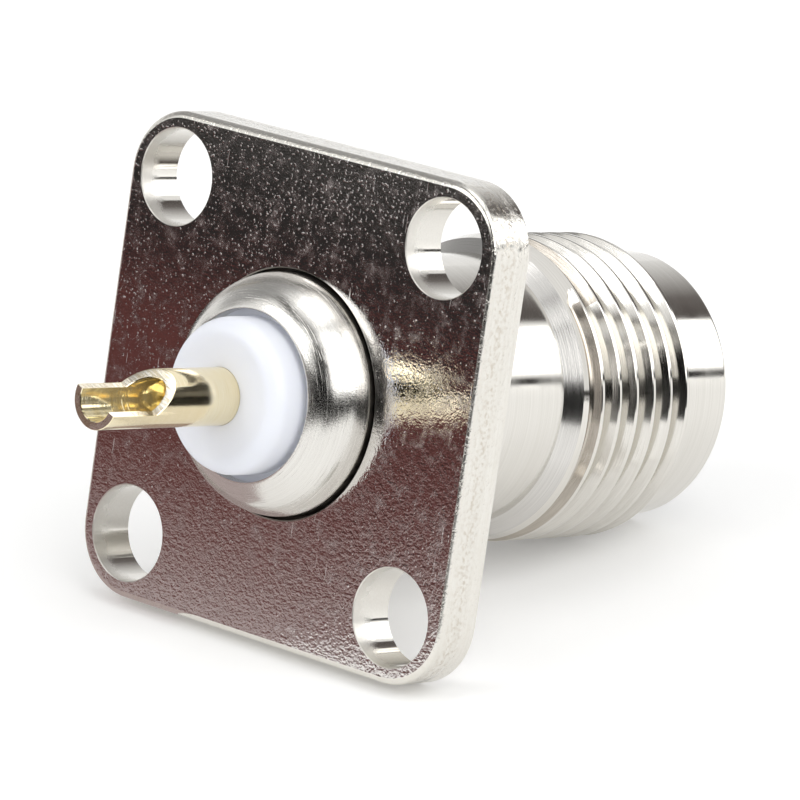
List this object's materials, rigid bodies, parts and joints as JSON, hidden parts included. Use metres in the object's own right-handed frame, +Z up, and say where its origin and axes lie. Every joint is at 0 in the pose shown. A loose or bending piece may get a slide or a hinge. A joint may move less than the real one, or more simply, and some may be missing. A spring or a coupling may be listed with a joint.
{
  "type": "tnc connector",
  "caption": "Threaded coaxial panel receptacle: square flange with corner screw holes, turned barrel with a coupling thread in front, solder cup behind.",
  "frame": {"origin": "on the connector's axis in the flange's rear face, at the centre of the four screw holes", "axes": "+Y along the axis towards the mating end, +Z up along one side of the square flange, +X to the right"},
  "size_m": [0.0174, 0.0271, 0.0174],
  "materials": {
    "bright_nickel": "bright nickel plate on turned brass",
    "plate_nickel": "nickel plate on stamped brass, fine orange peel and scratches",
    "white_insulator": "turned white fluoropolymer, waxy",
    "contact_gold": "pale gold plate on turned brass"
  },
  "bodies": {
    "root": {"body": "bright_nickel", "flange_plate": "plate_nickel", "rear_insulator": "white_insulator", "front_insulator": "white_insulator", "centre_contact": "contact_gold"}
  },
  "joints": []
}
